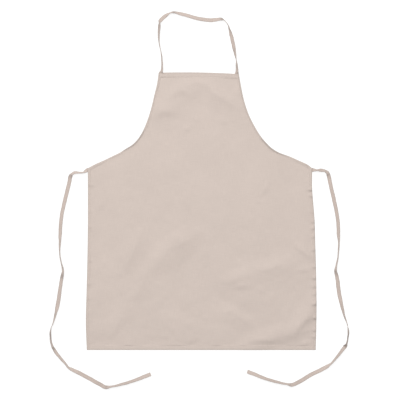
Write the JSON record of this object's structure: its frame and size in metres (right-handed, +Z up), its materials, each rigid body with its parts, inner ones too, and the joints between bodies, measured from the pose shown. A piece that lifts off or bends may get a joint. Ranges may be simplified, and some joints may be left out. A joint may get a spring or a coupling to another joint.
{
  "type": "bib apron",
  "caption": "Bib apron in plain undyed cotton, lying flat and face up, with turned hems, a neck strap of flat tape and long waist ties.",
  "frame": {"origin": "on the underside of the panel, in the middle of the waist line that joins the two corners where the ties are sewn", "axes": "+X towards the right of someone who looks down on it, +Y from the waist up to the bib, +Z up from the surface that it lies on"},
  "size_m": [0.9165, 1.1561, 0.0121],
  "materials": {
    "cotton": "matt undyed cotton cloth",
    "cotton_tape": "matt undyed cotton tape"
  },
  "bodies": {
    "root": {"panel": "cotton", "neck_strap": "cotton_tape", "tie_left": "cotton_tape", "tie_right": "cotton_tape"}
  },
  "joints": []
}
